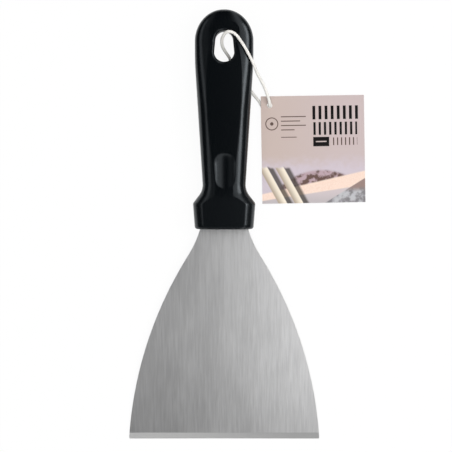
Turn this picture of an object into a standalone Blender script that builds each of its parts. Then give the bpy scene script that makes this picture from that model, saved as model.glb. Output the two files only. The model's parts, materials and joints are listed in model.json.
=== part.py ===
"""Triangular scraper: a flared steel blade whose tang is held in a moulded plastic handle, with a card hang
tag tied to the eye of the handle.

The scraper is modelled straight, with +Y towards the hanging end, +Z out of its front, and Y = 0 at the mouth
of the collar, on the middle plane of the blade. It is then tipped about X until it lies on its cutting edge
and on the back of its collar, as it does on a table. The origin is the middle of its footprint on the table.
"""

import math

import bmesh
import bpy
import numpy as np
from mathutils import Matrix, Vector

mm = 0.001

# Clearances and cuts
CLEARANCE = 0.3 * mm  # between pieces that touch
OVERRUN = 2.0 * mm  # how far a cutter runs past what it cuts
WELD = 0.001 * mm  # points nearer than this are one

# Blade, from the mouth of the collar to the cutting edge
BLADE_LENGTH = 110.6 * mm
BLADE_THICKNESS = 1.2 * mm
EDGE_WIDTH = 100.0 * mm
ROOT_WIDTH = 25.0 * mm  # where it enters the collar
SIDE_RADIUS = 206.0 * mm  # of each bowed side
SIDE_LEAN = math.radians(3.6)  # how far the sides still open at the cutting edge
ROOT_RADIUS = 55.0 * mm  # of the hollow curve that leads into the collar
TIP_CORNER_RADIUS = 0.6 * mm
GRIND_HEIGHT = 3.3 * mm  # of the single bevel on the front
EDGE_LAND = 0.3 * mm  # thickness left at the cutting edge

# Tang, inside the handle
SHOULDER_DEPTH = 5.0 * mm  # how far the full width of the blade goes into the collar
TANG_ROOT_WIDTH = 15.0 * mm
TANG_END_WIDTH = 11.0 * mm
TANG_CORNER_RADIUS = 1.5 * mm
TANG_END_RADIUS = 3.7 * mm
TANG_TO_EYE = 20.0 * mm  # plastic between the tang and the eye
LOCK_HOLES = 3
LOCK_HOLE_DIAMETER = 5.0 * mm
LOCK_HOLE_MARGIN = 9.0 * mm  # from the shoulder, and from the end of the tang, to the nearest hole's centre

# Handle, in the plan
HANDLE_LENGTH = 113.5 * mm
END_WIDTH = 30.2 * mm  # widest part of the hanging end
END_ROUND_LENGTH = 16.3 * mm  # of the half ellipse that closes the hanging end
NECK_WIDTH = 21.9 * mm
COLLAR_WIDTH = 32.4 * mm
COLLAR_MOUTH_WIDTH = 30.4 * mm
COLLAR_LENGTH = 13.3 * mm  # from the mouth to the widest place
FLARE_LENGTH = 6.9 * mm  # from the collar's widest place to the neck
MOUTH_FILLET = 1.3 * mm
SHOULDER_FILLET = 2.0 * mm
NECK_FILLET = 9.0 * mm
GRIP_FILLET = 150.0 * mm  # turns the tapering grip parallel before the hanging end
GRIP_TURN_TO_ROUND = 11.0 * mm  # from the corner that it rounds to the half ellipse

# Handle, seen from the side: how thick it is between its flat front and its flat back
COLLAR_THICKNESS = 15.0 * mm
NECK_THICKNESS = 13.4 * mm
GRIP_THICKNESS = 14.8 * mm
END_THICKNESS = 11.6 * mm
ARCH_LENGTH = 17.2 * mm  # from the mouth to the top of the arch that ends the collar's flat front
ARCH_FILLET = 2.0 * mm
NECK_TOP_FILLET = 12.0 * mm
GRIP_TOP_FILLET = 80.0 * mm  # over the thickest place of the grip
GRIP_CREST_SHARE = 0.45  # the thickest place of the grip, as a share of the way from neck to hanging end

# The rounded body that the flat front and back are cut from, and how far it would stand out of each of them
COLLAR_CROWN = 1.0 * mm
NECK_CROWN = 0.1 * mm
GRIP_CROWN = 0.85 * mm
END_CROWN = 0.55 * mm
COLLAR_CROWN_FILLET = 3.0 * mm
NECK_CROWN_FILLET = 14.0 * mm
GRIP_CROWN_FILLET = 80.0 * mm
BAND_HEIGHT = 1.6 * mm  # flat band along the side, where the mould parts
GRIP_ROUNDNESS = 2.8  # power of the curve of a section: 2 is an ellipse, more is squarer
END_ROUNDNESS = 3.5

# Eye and thumb dimples
EYE_LENGTH = 15.9 * mm
EYE_WIDTH = 10.4 * mm
EYE_TOP_WIDTH = 9.2 * mm  # it narrows towards the hanging end
EYE_TO_END = 11.2 * mm  # plastic between the eye and the end of the handle
EYE_RIM = 1.2 * mm  # rounding of the eye's edges
DIMPLE_LENGTH = 18.6 * mm
DIMPLE_WIDTH = 11.0 * mm
DIMPLE_DEPTH = 0.9 * mm
DIMPLE_BALL = 12.0 * mm  # height of the form that scoops it, round at both ends
DIMPLE_TO_MOUTH = 30.0 * mm  # from the mouth of the collar to the dimple's middle
DIMPLE_ASIDE = 0.6 * mm  # to the right of the handle's middle

# String, knot and tag
STRING_DIAMETER = 1.5 * mm
STRING_STEP = 1.6 * mm  # between the points of its tube
KNOT_POINTS = 54  # round the knot's turns
KNOT_TURN_RADIUS = 1.9 * mm  # of the ring that the knot's turns wind round
KNOT_WIND_RADIUS = 0.95 * mm
KNOT_STUB = 1.0 * mm  # how far each strand stands out of the turns
KNOT_TAIL = 3.2 * mm  # free end left past the turns
TAG_WIDTH = 54.2 * mm
TAG_LENGTH = 56.3 * mm
TAG_THICKNESS = 0.5 * mm
TAG_HOLE_DIAMETER = 2.8 * mm
TAG_HOLE_FROM_SIDE = 4.6 * mm
TAG_HOLE_FROM_TOP = 4.8 * mm
TAG_TURN = math.radians(1.0)

# Where the knot and the tag's hole lie on the table
KNOT_AT = Vector((9.8, 76.8, 1.75)) * mm
TAG_HOLE_AT = Vector((23.8, 63.2, 2.6)) * mm

# The string's route on the table: out of the knot, up through the eye from the back, over its front rim, down
# to the tag, through the card and back to the knot underneath it. Its two ends are worked out from the knot.
STRING_ROUTE = [
    Vector(point) * mm
    for point in (
        (4.4, 84.5, 3.6),
        (2.6, 87.9, 6.8),
        (-0.4, 92.2, 11.0),
        (-1.2, 95.0, 14.6),
        (-0.4, 97.8, 18.0),
        (1.8, 99.6, 20.5),
        (4.8, 98.9, 21.3),
        (8.6, 94.7, 20.9),
        (12.4, 88.5, 20.1),
        (15.3, 83.0, 17.5),
        (17.1, 79.0, 14.2),
        (19.9, 74.2, 10.6),
        (21.9, 70.0, 7.7),
        (23.0, 67.0, 6.1),
        (23.6, 64.9, 4.9),
        (23.8, 63.6, 3.7),
        (23.8, 63.0, 2.4),
        (23.3, 62.2, 1.3),
        (22.2, 61.4, 0.85),
        (20.8, 61.6, 0.8),
        (19.7, 63.0, 0.8),
        (18.7, 65.0, 0.8),
        (17.2, 67.0, 0.8),
        (15.4, 69.1, 0.9),
    )
]

ARC_STEP = math.radians(12.0)  # widest angle between the points of an arc
ARC_CHORD = 5.0 * mm  # and longest straight between them
ROUND_STEPS = 8  # faces across a quarter of a rounded section, and across the eye's rims
LONGEST_FACE = 4.0 * mm  # spacing of the handle's sections where it runs straight
SHORTEST_FACE = 0.15 * mm  # sections nearer than this are left out


# Outlines

def arc(centre, radius, start, end):
    """Points of an arc, as evenly spaced angles from start to end."""
    sweep = abs(end - start)
    steps = max(2, math.ceil(sweep / ARC_STEP), math.ceil(sweep * radius / ARC_CHORD))
    angles = [start + (end - start) * i / steps for i in range(steps + 1)]
    return [Vector((centre[0] + radius * math.cos(a), centre[1] + radius * math.sin(a))) for a in angles]


def quarter_curve(centre, wide, high, power=2.0):
    """From the side of an ellipse, or of a squarer curve of a higher power, to its top."""
    turns = [math.pi / 2 * i / ROUND_STEPS for i in range(ROUND_STEPS + 1)]
    bend = 2 / power
    return [
        Vector((centre[0] + wide * max(0, math.cos(a)) ** bend, centre[1] + high * math.sin(a) ** bend))
        for a in turns
    ]


def filleted(corners):
    """A path through corners, each (point, radius), with every corner but the ends turned into an arc."""
    path = [Vector(corners[0][0])]
    for (before, _), (corner, radius), (after, _) in zip(corners, corners[1:], corners[2:]):
        corner = Vector(corner)
        back = (Vector(before) - corner).normalized()
        on = (Vector(after) - corner).normalized()
        half = back.angle(on) / 2
        centre = corner + (back + on).normalized() * radius / math.sin(half)
        start = corner + back * radius / math.tan(half) - centre
        end = corner + on * radius / math.tan(half) - centre
        first = math.atan2(start.y, start.x)
        turn = (math.atan2(end.y, end.x) - first + math.pi) % math.tau - math.pi
        path += arc(centre, radius, first, first + turn)
    return path + [Vector(corners[-1][0])]


def mirrored(half):
    """A closed outline from its right half, which runs from one end on the axis to the other."""
    left = [Vector((-p.x, p.y)) for p in reversed(half)]
    return half + [p for p in left if abs(p.x) > 0]


def blade_side():
    """The right side of the blade, from its corner at the cutting edge to the mouth of the collar."""
    lean = Vector((math.cos(SIDE_LEAN), math.sin(SIDE_LEAN)))
    bow = Vector((EDGE_WIDTH / 2, -BLADE_LENGTH)) - lean * SIDE_RADIUS
    root = Vector((ROOT_WIDTH / 2, 0))
    # The hollow's centre is as far from the bow's as both radii together, and its own radius from the root.
    reach = (root - bow).length
    along = (reach**2 + (SIDE_RADIUS + ROOT_RADIUS) ** 2 - ROOT_RADIUS**2) / (2 * reach)
    aside = math.sqrt((SIDE_RADIUS + ROOT_RADIUS) ** 2 - along**2)
    way = (root - bow).normalized()
    hollow = bow + way * along + Vector((way.y, -way.x)) * aside
    joint = (hollow - bow).normalized()
    swing = math.atan2(joint.y, joint.x)
    into = root - hollow
    last = math.atan2(into.y, into.x)
    first = swing + math.pi
    turn = (last - first + math.pi) % math.tau - math.pi
    return arc(bow, SIDE_RADIUS, SIDE_LEAN, swing), arc(hollow, ROOT_RADIUS, first, first + turn)


def tang_half(grow=0.0):
    """The right half of the tang, from the mouth of the collar to its end on the axis, grown all round."""
    root, side, end = (width / 2 + grow for width in (ROOT_WIDTH, TANG_ROOT_WIDTH, TANG_END_WIDTH))
    shoulder = SHOULDER_DEPTH + grow
    return filleted(
        [
            ((root, 0), 0),
            ((root, shoulder), TANG_CORNER_RADIUS),
            ((side, shoulder), TANG_CORNER_RADIUS),
            ((end, tang_length() + grow), TANG_END_RADIUS),
            ((0, tang_length() + grow), 0),
        ]
    )


def eye_bottom():
    return HANDLE_LENGTH - EYE_TO_END - EYE_LENGTH


def tang_length():
    """From the mouth of the collar to the end of the tang."""
    return eye_bottom() - TANG_TO_EYE


def lock_hole_places():
    """How far up the tang the centre of each lock hole is."""
    first, last = SHOULDER_DEPTH + LOCK_HOLE_MARGIN, tang_length() - LOCK_HOLE_MARGIN
    return [first + (last - first) * i / (LOCK_HOLES - 1) for i in range(LOCK_HOLES)]


def handle_plan():
    """The handle's half width along its length, as points (half width, distance from the mouth)."""
    parallel = HANDLE_LENGTH - END_ROUND_LENGTH
    body = filleted(
        [
            ((0, 0), 0),
            ((COLLAR_MOUTH_WIDTH / 2, 0), MOUTH_FILLET),
            ((COLLAR_WIDTH / 2, COLLAR_LENGTH), SHOULDER_FILLET),
            ((NECK_WIDTH / 2, COLLAR_LENGTH + FLARE_LENGTH), NECK_FILLET),
            ((END_WIDTH / 2, parallel - GRIP_TURN_TO_ROUND), GRIP_FILLET),
            ((END_WIDTH / 2, parallel), 0),
        ]
    )
    return body[1:] + quarter_curve((0, parallel), END_WIDTH / 2, END_ROUND_LENGTH)[1:]


def grip_crest():
    """How far from the mouth the grip is thickest."""
    neck = COLLAR_LENGTH + FLARE_LENGTH
    return neck + (HANDLE_LENGTH - neck) * GRIP_CREST_SHARE


def handle_profile():
    """Half the way between the flat front and back along the length, as (half thickness, distance)."""
    neck = COLLAR_LENGTH + FLARE_LENGTH
    return filleted(
        [
            ((0, 0), 0),
            ((COLLAR_THICKNESS / 2, 0), MOUTH_FILLET),
            ((COLLAR_THICKNESS / 2, ARCH_LENGTH), ARCH_FILLET),
            ((NECK_THICKNESS / 2, neck), NECK_TOP_FILLET),
            ((GRIP_THICKNESS / 2, grip_crest()), GRIP_TOP_FILLET),
            ((END_THICKNESS / 2, HANDLE_LENGTH), 0),
        ]
    )[1:]


def body_profile():
    """Half the thickness of the rounded body along its length, as points (half thickness, distance)."""
    parallel = HANDLE_LENGTH - END_ROUND_LENGTH
    collar, neck, grip, end = (
        thickness / 2 + crown
        for thickness, crown in (
            (COLLAR_THICKNESS, COLLAR_CROWN),
            (NECK_THICKNESS, NECK_CROWN),
            (GRIP_THICKNESS, GRIP_CROWN),
            (END_THICKNESS, END_CROWN),
        )
    )
    return filleted(
        [
            ((0, 0), 0),
            ((collar, 0), MOUTH_FILLET + COLLAR_CROWN),
            ((collar, COLLAR_LENGTH), COLLAR_CROWN_FILLET),
            ((neck, COLLAR_LENGTH + FLARE_LENGTH), NECK_CROWN_FILLET),
            ((grip, grip_crest()), GRIP_CROWN_FILLET),
            ((end, parallel), 0),
        ]
    )[1:]


def read_along(path, places):
    """The path's x at each place along y."""
    return np.interp(places, [p.y for p in path], [p.x for p in path])


def front_height(place):
    """How far the flat front, and the back, of the handle are from the blade's middle plane at a place."""
    return float(read_along(handle_profile(), [place])[0])


# Meshes and objects

def material(name, colour, roughness, metallic=0.0):
    finish = bpy.data.materials.new(name)
    finish.use_nodes = True
    shader = finish.node_tree.nodes["Principled BSDF"]
    shader.inputs["Base Color"].default_value = (*colour, 1)
    shader.inputs["Roughness"].default_value = roughness
    shader.inputs["Metallic"].default_value = metallic
    finish.diffuse_color = (*colour, 1)
    return finish


def add(name, data, finish=None, parent=None):
    piece = bpy.data.objects.new(name, data)
    bpy.context.collection.objects.link(piece)
    if finish:
        data.materials.append(finish)
    piece.parent = parent
    return piece


def mesh_from(bm, name, smooth_under=None):
    """Turns a bmesh into a mesh, shaded smooth across every edge flatter than the given angle."""
    bmesh.ops.recalc_face_normals(bm, faces=bm.faces)
    mesh = bpy.data.meshes.new(name)
    bm.to_mesh(mesh)
    bm.free()
    if smooth_under is not None:
        mesh.shade_smooth()
        mesh.set_sharp_from_angle(angle=smooth_under)
    return mesh


def lofted(rings):
    """A skin over rings of points with the same count, closed by a flat face at each end."""
    bm = bmesh.new()
    loops = [[bm.verts.new(point) for point in ring] for ring in rings]
    for low, high in zip(loops, loops[1:]):
        for i, corner in enumerate(low):
            bm.faces.new((low[i - 1], corner, high[i], high[i - 1]))
    bm.faces.new(loops[0])
    bm.faces.new(reversed(loops[-1]))
    return bm


def plate(outline, bottom, top):
    """A flat plate: an outline in the XY plane, extruded from one height to another."""
    bm = bmesh.new()
    face = bm.faces.new([bm.verts.new((p.x, p.y, bottom)) for p in outline])
    raised = bmesh.ops.extrude_face_region(bm, geom=[face])["geom"]
    corners = [item for item in raised if isinstance(item, bmesh.types.BMVert)]
    bmesh.ops.translate(bm, vec=(0, 0, top - bottom), verts=corners)
    return bm


def cutter(name, data, parent=None):
    piece = add(name, data, parent=parent)
    piece.hide_render = True
    piece.display_type = "WIRE"
    return piece


def combine(piece, other, operation):
    step = piece.modifiers.new(f"{operation.lower()} {other.name}", "BOOLEAN")
    step.operation = operation
    step.solver = "EXACT"
    step.object = other


def posts(name, places, radius, height, parent):
    """A row of round posts along the tang, as one cutter."""
    bm = bmesh.new()
    for place in places:
        size = {"radius1": radius, "radius2": radius, "depth": height}
        centre = Matrix.Translation((0, place, 0))
        bmesh.ops.create_cone(bm, cap_ends=True, segments=32, matrix=centre, **size)
    return cutter(name, mesh_from(bm, name), parent)


# The scraper

def make_blade(parent):
    """The blade and its tang in one plate, with the bevel ground on the front and the lock holes punched."""
    bow, hollow = blade_side()
    corner = (EDGE_WIDTH / 2, -BLADE_LENGTH)
    tip = filleted([((0, -BLADE_LENGTH), 0), (corner, TIP_CORNER_RADIUS), (bow[1], 0)])
    outline = mirrored(tip[:-1] + bow[1:] + hollow[1:-1] + tang_half())
    bm = plate(outline, -BLADE_THICKNESS / 2, BLADE_THICKNESS / 2)
    rise = BLADE_THICKNESS - EDGE_LAND
    bmesh.ops.bisect_plane(
        bm,
        geom=bm.verts[:] + bm.edges[:] + bm.faces[:],
        dist=WELD,
        plane_co=(0, -BLADE_LENGTH, BLADE_THICKNESS / 2 - rise),
        plane_no=(0, -rise, GRIND_HEIGHT),
        clear_outer=True,
    )
    bmesh.ops.holes_fill(bm, edges=[edge for edge in bm.edges if edge.is_boundary])
    finish = material("brushed stainless steel", (0.56, 0.55, 0.54), 0.32, 1.0)
    blade = add("blade", mesh_from(bm, "blade", math.radians(25)), finish, parent)
    reach = BLADE_THICKNESS + 2 * OVERRUN
    holes = posts("lock_holes", lock_hole_places(), LOCK_HOLE_DIAMETER / 2, reach, parent)
    combine(blade, holes, "DIFFERENCE")
    return blade


def section(half_width, half_thickness, power, place):
    """One cross section of the rounded body, with a narrow flat band at each side."""
    band = min(BAND_HEIGHT / 2, half_thickness / 2)
    quarter = quarter_curve((0, band), half_width, half_thickness - band, power)
    right = quarter[:0:-1] + [quarter[0]] + [Vector((p.x, -p.y)) for p in quarter]
    left = [Vector((-p.x, p.y)) for p in reversed(right[1:-1])]
    return [Vector((p.x, place, p.y)) for p in right + left]


def body_sections():
    """Sections of the rounded body at every bend of its plan and its profile, and evenly between them."""
    plan, profile = handle_plan(), body_profile()
    bends = sorted(p.y for p in plan + profile)
    places = [bends[0]]
    for bend in bends[1:]:
        gap = bend - places[-1]
        steps = max(1, math.ceil(gap / LONGEST_FACE))
        if gap > SHORTEST_FACE:
            places += [places[-1] + gap / steps * (i + 1) for i in range(steps)]
    last = HANDLE_LENGTH - SHORTEST_FACE / 2
    places = [place for place in places if place < last] + [last]
    parallel = HANDLE_LENGTH - END_ROUND_LENGTH
    ends = [grip_crest(), parallel]
    powers = np.interp(places, ends, [GRIP_ROUNDNESS, END_ROUNDNESS])
    widths, heights = read_along(plan, places), read_along(profile, places)
    rings = []
    for place, width, height, power in zip(places, widths, heights, powers):
        past = max(0, (place - parallel) / END_ROUND_LENGTH)
        height *= (1 - past**END_ROUNDNESS) ** (1 / END_ROUNDNESS)
        rings.append(section(width, height, power, place))
    return rings


def make_flats_cutter(parent):
    """The side profile extruded across the handle, which keeps of the body what lies between two flats."""
    front = [Vector((p.y, p.x)) for p in handle_profile()]
    front += [Vector((HANDLE_LENGTH + OVERRUN, END_THICKNESS / 2))]
    outline = front + [Vector((p.x, -p.y)) for p in reversed(front)]
    reach = COLLAR_WIDTH / 2 + OVERRUN
    bm = plate(outline, -reach, reach)
    # The plate's X runs along the handle and its Y is the handle's thickness.
    bmesh.ops.transform(bm, matrix=Matrix(((0, 0, 1), (1, 0, 0), (0, 1, 0))).to_4x4(), verts=bm.verts)
    return cutter("flats_cutter", mesh_from(bm, "flats_cutter"), parent)


def egg(grow):
    """The eye's outline: two circles and the straight flanks that touch both, grown by part of the rim."""
    wide, narrow = EYE_WIDTH / 2 + grow, EYE_TOP_WIDTH / 2 + grow
    low = eye_bottom() + EYE_WIDTH / 2
    high = eye_bottom() + EYE_LENGTH - EYE_TOP_WIDTH / 2
    lean = math.asin((wide - narrow) / (high - low))
    right = arc((0, low), wide, -math.pi / 2, lean) + arc((0, high), narrow, lean, math.pi / 2)
    right[0].x = right[-1].x = 0
    return mirrored(right)


def make_eye_cutter(parent):
    """A spool that runs through the handle and flares at both faces, which rounds the rims of the eye."""
    turns = [math.pi / 2 * i / ROUND_STEPS for i in range(ROUND_STEPS + 1)]
    flare = [(EYE_RIM * (1 - math.cos(a)), EYE_RIM * (math.sin(a) - 1)) for a in turns]
    flare[-1] = (EYE_RIM, OVERRUN)
    spool = [(-1, grow, rise) for grow, rise in reversed(flare)] + [(1, grow, rise) for grow, rise in flare]
    rings = []
    for side, grow, rise in spool:
        rings.append([Vector((p.x, p.y, side * (front_height(p.y) + rise))) for p in egg(grow)])
    return cutter("eye_cutter", mesh_from(lofted(rings), "eye_cutter"), parent)


def make_dimple_cutter(name, side, parent):
    """A ball with a straight middle that scoops a thumb dimple out of the front, side 1, or the back, -1."""
    sink = DIMPLE_BALL / 2 - DIMPLE_DEPTH
    spread = math.sqrt(1 - (sink / (DIMPLE_BALL / 2)) ** 2)
    radius = DIMPLE_WIDTH / 2 / spread
    straight = DIMPLE_LENGTH - DIMPLE_WIDTH
    bm = bmesh.new()
    bmesh.ops.create_uvsphere(bm, u_segments=48, v_segments=24, radius=1)
    bmesh.ops.scale(bm, vec=(radius, radius, DIMPLE_BALL / 2), verts=bm.verts)
    for vertex in bm.verts:
        if abs(vertex.co.y) > WELD:
            vertex.co.y += math.copysign(straight / 2, vertex.co.y)
    height = side * (front_height(DIMPLE_TO_MOUTH) + sink)
    bmesh.ops.translate(bm, vec=(DIMPLE_ASIDE, DIMPLE_TO_MOUTH, height), verts=bm.verts)
    return cutter(name, mesh_from(bm, name), parent)


def make_slot_cutter(parent):
    """The tang's own shape with clearance all round, pierced where plastic runs through the lock holes."""
    half = tang_half(CLEARANCE)
    outline = mirrored([Vector((0, -OVERRUN)), Vector((half[0].x, -OVERRUN))] + half[1:])
    reach = BLADE_THICKNESS / 2 + CLEARANCE
    slot = cutter("slot_cutter", mesh_from(plate(outline, -reach, reach), "slot_cutter"), parent)
    peg_radius = LOCK_HOLE_DIAMETER / 2 - CLEARANCE
    pegs = posts("lock_pegs", lock_hole_places(), peg_radius, 2 * (reach + OVERRUN), parent)
    combine(slot, pegs, "DIFFERENCE")
    return slot


def make_handle(parent):
    """One moulding: a rounded body with a flat front and back, the tang's slot, the eye and two dimples."""
    finish = material("black polypropylene", (0.012, 0.013, 0.015), 0.38)
    handle = add("handle", mesh_from(lofted(body_sections()), "handle", math.radians(35)), finish, parent)
    combine(handle, make_flats_cutter(parent), "INTERSECT")
    combine(handle, make_slot_cutter(parent), "DIFFERENCE")
    combine(handle, make_eye_cutter(parent), "DIFFERENCE")
    combine(handle, make_dimple_cutter("front_dimple_cutter", 1, parent), "DIFFERENCE")
    combine(handle, make_dimple_cutter("back_dimple_cutter", -1, parent), "DIFFERENCE")
    return handle


def make_rest():
    """The empty that carries the scraper, tipped until the edge and the collar's back are at Z = 0."""
    edge = Vector((-BLADE_LENGTH, -BLADE_THICKNESS / 2))
    backs = [Vector((p.y, -p.x)) for p in handle_profile()]
    tilt = max(math.atan2(edge.y - back.y, back.x - edge.x) for back in backs)
    turned = Matrix.Rotation(tilt, 2)
    corner = turned @ Vector((-BLADE_LENGTH, EDGE_LAND - BLADE_THICKNESS / 2))
    end = turned @ Vector((HANDLE_LENGTH, 0))
    rest = bpy.data.objects.new("scraper_rest", None)
    bpy.context.collection.objects.link(rest)
    rest.rotation_euler.x = tilt
    rest.location = (0, -(corner.x + end.x) / 2, -(turned @ edge).y)
    return rest


# String, knot and tag

def smooth_through(points, step):
    """Evenly spaced points on the natural cubic spline through the given ones."""
    knots = np.array([tuple(p) for p in points])
    gaps = np.linalg.norm(np.diff(knots, axis=0), axis=1)
    along = np.concatenate([[0], np.cumsum(gaps)])
    count = len(knots)
    system, sides = np.eye(count), np.zeros((count, 3))
    for i in range(1, count - 1):
        system[i, i - 1 : i + 2] = gaps[i - 1], 2 * (gaps[i - 1] + gaps[i]), gaps[i]
        sides[i] = 6 * ((knots[i + 1] - knots[i]) / gaps[i] - (knots[i] - knots[i - 1]) / gaps[i - 1])
    bends = np.linalg.solve(system, sides)
    fine = []
    for i, gap in enumerate(gaps):
        t = np.linspace(0, gap, 40)[:, None]
        rest = gap - t
        cubic = (bends[i] * rest**3 + bends[i + 1] * t**3) / (6 * gap)
        straight = (knots[i] * rest + knots[i + 1] * t) / gap
        pull = (bends[i] * rest + bends[i + 1] * t) * gap / 6
        fine.append(cubic + straight - pull)
    fine = np.concatenate(fine)
    travelled = np.concatenate([[0], np.cumsum(np.linalg.norm(np.diff(fine, axis=0), axis=1))])
    places = np.linspace(0, travelled[-1], round(travelled[-1] / step) + 1)
    return [Vector([float(np.interp(place, travelled, fine[:, k])) for k in range(3)]) for place in places]


def tube(name, points, closed=False):
    """A length of the string along points."""
    curve = bpy.data.curves.new(name, "CURVE")
    curve.dimensions = "3D"
    curve.bevel_depth = STRING_DIAMETER / 2
    curve.bevel_resolution = 2
    curve.use_fill_caps = True
    spline = curve.splines.new("POLY")
    spline.points.add(len(points) - 1)
    for place, point in zip(spline.points, points):
        place.co = (*point, 1)
    spline.use_cyclic_u = closed
    spline.use_smooth = True
    return curve


def tube_mesh(name, points, closed=False):
    """The same as a mesh, with its caps joined to its side."""
    cord = bpy.data.objects.new(name, tube(name, points, closed))
    bm = bmesh.new()
    bm.from_mesh(bpy.data.meshes.new_from_object(cord))
    bpy.data.objects.remove(cord)
    bmesh.ops.remove_doubles(bm, verts=bm.verts, dist=WELD)
    return mesh_from(bm, name, math.radians(60))


def strand_way(target):
    """The level direction from the knot to a point of the string."""
    return Vector((target.x - KNOT_AT.x, target.y - KNOT_AT.y, 0)).normalized()


def knot_reach():
    """From the knot's middle to the end of the strands that stand out of its turns."""
    return KNOT_TURN_RADIUS + KNOT_WIND_RADIUS + STRING_DIAMETER / 2 + KNOT_STUB


def make_knot(finish):
    """The string's two ends tied together: turns drawn up in a trefoil, two strands and two short tails."""
    ways = strand_way(STRING_ROUTE[0]), strand_way(STRING_ROUTE[-1])
    lead = math.atan2(ways[0].y, ways[0].x)
    turns = []
    for i in range(KNOT_POINTS):
        t = math.tau * i / KNOT_POINTS
        out, rise = KNOT_TURN_RADIUS + KNOT_WIND_RADIUS * math.cos(3 * t), KNOT_WIND_RADIUS * math.sin(3 * t)
        turns.append(Vector((out * math.cos(2 * t + lead), out * math.sin(2 * t + lead), rise)))
    across = (ways[0] - ways[1]).normalized().cross(Vector((0, 0, 1)))
    drop = STRING_DIAMETER / 2 - KNOT_AT.z
    strands = [ways[0] * knot_reach(), Vector((0, 0, 0)), ways[1] * knot_reach()]
    half_tails = across * (KNOT_TURN_RADIUS + KNOT_TAIL)
    tail_shares = (-1, -0.5, 0, 0.5, 1)
    tails = [half_tails * share + Vector((0, 0, drop * share**2)) for share in tail_shares]
    knot = add("knot", tube_mesh("knot", turns, closed=True), finish)
    knot.location = KNOT_AT
    for name, route in (("knot_strands", strands), ("knot_tails", tails)):
        combine(knot, cutter(name, tube_mesh(name, smooth_through(route, STRING_STEP)), knot), "UNION")
    return knot


def make_string(finish):
    """The loop of string, from one side of the knot round to the other, with a clearance at each end."""
    leads = [
        [KNOT_AT + strand_way(point) * (knot_reach() + CLEARANCE + run) for run in (0, STRING_DIAMETER)]
        for point in (STRING_ROUTE[0], STRING_ROUTE[-1])
    ]
    route = [*leads[0], *STRING_ROUTE, *reversed(leads[1])]
    return add("string", tube("string", smooth_through(route, STRING_STEP)), finish)


def make_tag():
    """The card, punched near one corner. It leans from the string under its hole down to its far corner."""
    left, right = -TAG_HOLE_FROM_SIDE, TAG_WIDTH - TAG_HOLE_FROM_SIDE
    top, bottom = TAG_HOLE_FROM_TOP, TAG_HOLE_FROM_TOP - TAG_LENGTH
    outline = [Vector(p) for p in ((left, bottom), (right, bottom), (right, top), (left, top))]
    finish = material("printed card", (0.66, 0.53, 0.50), 0.6)
    tag = add("tag", mesh_from(plate(outline, 0, TAG_THICKNESS), "tag"), finish)
    away = Vector((right, bottom, 0))
    lean = math.asin((TAG_HOLE_AT.z - CLEARANCE) / away.length)
    leaning = Matrix.Rotation(lean, 4, Vector((0, 0, 1)).cross(away))
    tag.matrix_world = Matrix.Translation(TAG_HOLE_AT) @ Matrix.Rotation(TAG_TURN, 4, "Z") @ leaning
    combine(tag, posts("tag_punch", [0], TAG_HOLE_DIAMETER / 2, OVERRUN, tag), "DIFFERENCE")
    return tag


def build():
    for piece in list(bpy.data.objects):
        bpy.data.objects.remove(piece, do_unlink=True)
    rest = make_rest()
    make_blade(rest)
    make_handle(rest)
    cotton = material("cotton string", (0.80, 0.77, 0.70), 0.85)
    make_string(cotton)
    make_knot(cotton)
    make_tag()


build()
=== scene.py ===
# %% [markdown]
# # A triangular scraper with its hang tag
# A scraper lies face up on a white table: a flared steel blade, a black moulded handle, and a card tag tied
# through the handle's eye with a loop of string. Its construction is loaded as a fixed frame of separate
# pieces. This lesson gives each of them its fine shape and its finish, then lights and frames it.

# %% Load the construction
import json
import math

import bpy
import numpy as np
from mathutils import Matrix, Vector


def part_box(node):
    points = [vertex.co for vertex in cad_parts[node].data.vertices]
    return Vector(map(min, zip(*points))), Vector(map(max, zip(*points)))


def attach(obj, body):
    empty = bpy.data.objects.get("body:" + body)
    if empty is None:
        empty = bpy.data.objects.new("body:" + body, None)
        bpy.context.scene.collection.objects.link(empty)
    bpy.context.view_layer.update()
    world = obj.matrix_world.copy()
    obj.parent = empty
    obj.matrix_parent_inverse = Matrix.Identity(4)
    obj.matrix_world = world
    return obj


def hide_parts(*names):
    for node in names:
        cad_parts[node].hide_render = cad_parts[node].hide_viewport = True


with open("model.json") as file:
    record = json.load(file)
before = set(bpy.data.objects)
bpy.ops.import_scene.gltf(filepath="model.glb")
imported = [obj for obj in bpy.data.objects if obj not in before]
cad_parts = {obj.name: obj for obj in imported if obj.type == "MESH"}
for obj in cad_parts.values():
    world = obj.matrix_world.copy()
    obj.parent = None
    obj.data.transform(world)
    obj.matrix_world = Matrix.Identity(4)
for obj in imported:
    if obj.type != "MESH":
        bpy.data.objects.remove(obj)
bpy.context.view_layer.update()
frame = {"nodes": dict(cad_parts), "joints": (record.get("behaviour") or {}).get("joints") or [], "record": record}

mm = 0.001
print("pieces of the construction:", sorted(frame["nodes"]))


# %% [markdown]
# ## The camera
# The scraper is seen from straight above, from a little under 0.8 m. A camera that looks down shows one plane
# in true proportion, here the table, so the lens follows from the width of table that fills the picture.

# %% Camera
CAMERA_HEIGHT = 780 * mm
CAMERA_ASIDE = 0.95 * mm  # how far it stands to the right of the scraper's middle
VIEW_WIDTH = 237.9 * mm  # of the table across the picture
SENSOR_WIDTH = 36.0  # in millimetres, as Blender counts lenses

lens = bpy.data.cameras.new("camera")
lens.sensor_width = SENSOR_WIDTH
lens.lens = SENSOR_WIDTH * CAMERA_HEIGHT / VIEW_WIDTH
camera = bpy.data.objects.new("camera", lens)
camera.location = (CAMERA_ASIDE, 0, CAMERA_HEIGHT)
bpy.context.collection.objects.link(camera)
bpy.context.scene.camera = camera
print(f"lens {lens.lens:.1f} mm")


# %% [markdown]
# ## Helpers for the modelling
# Most operators act on whatever is selected, so each step first selects the one piece that it works on.

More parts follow.
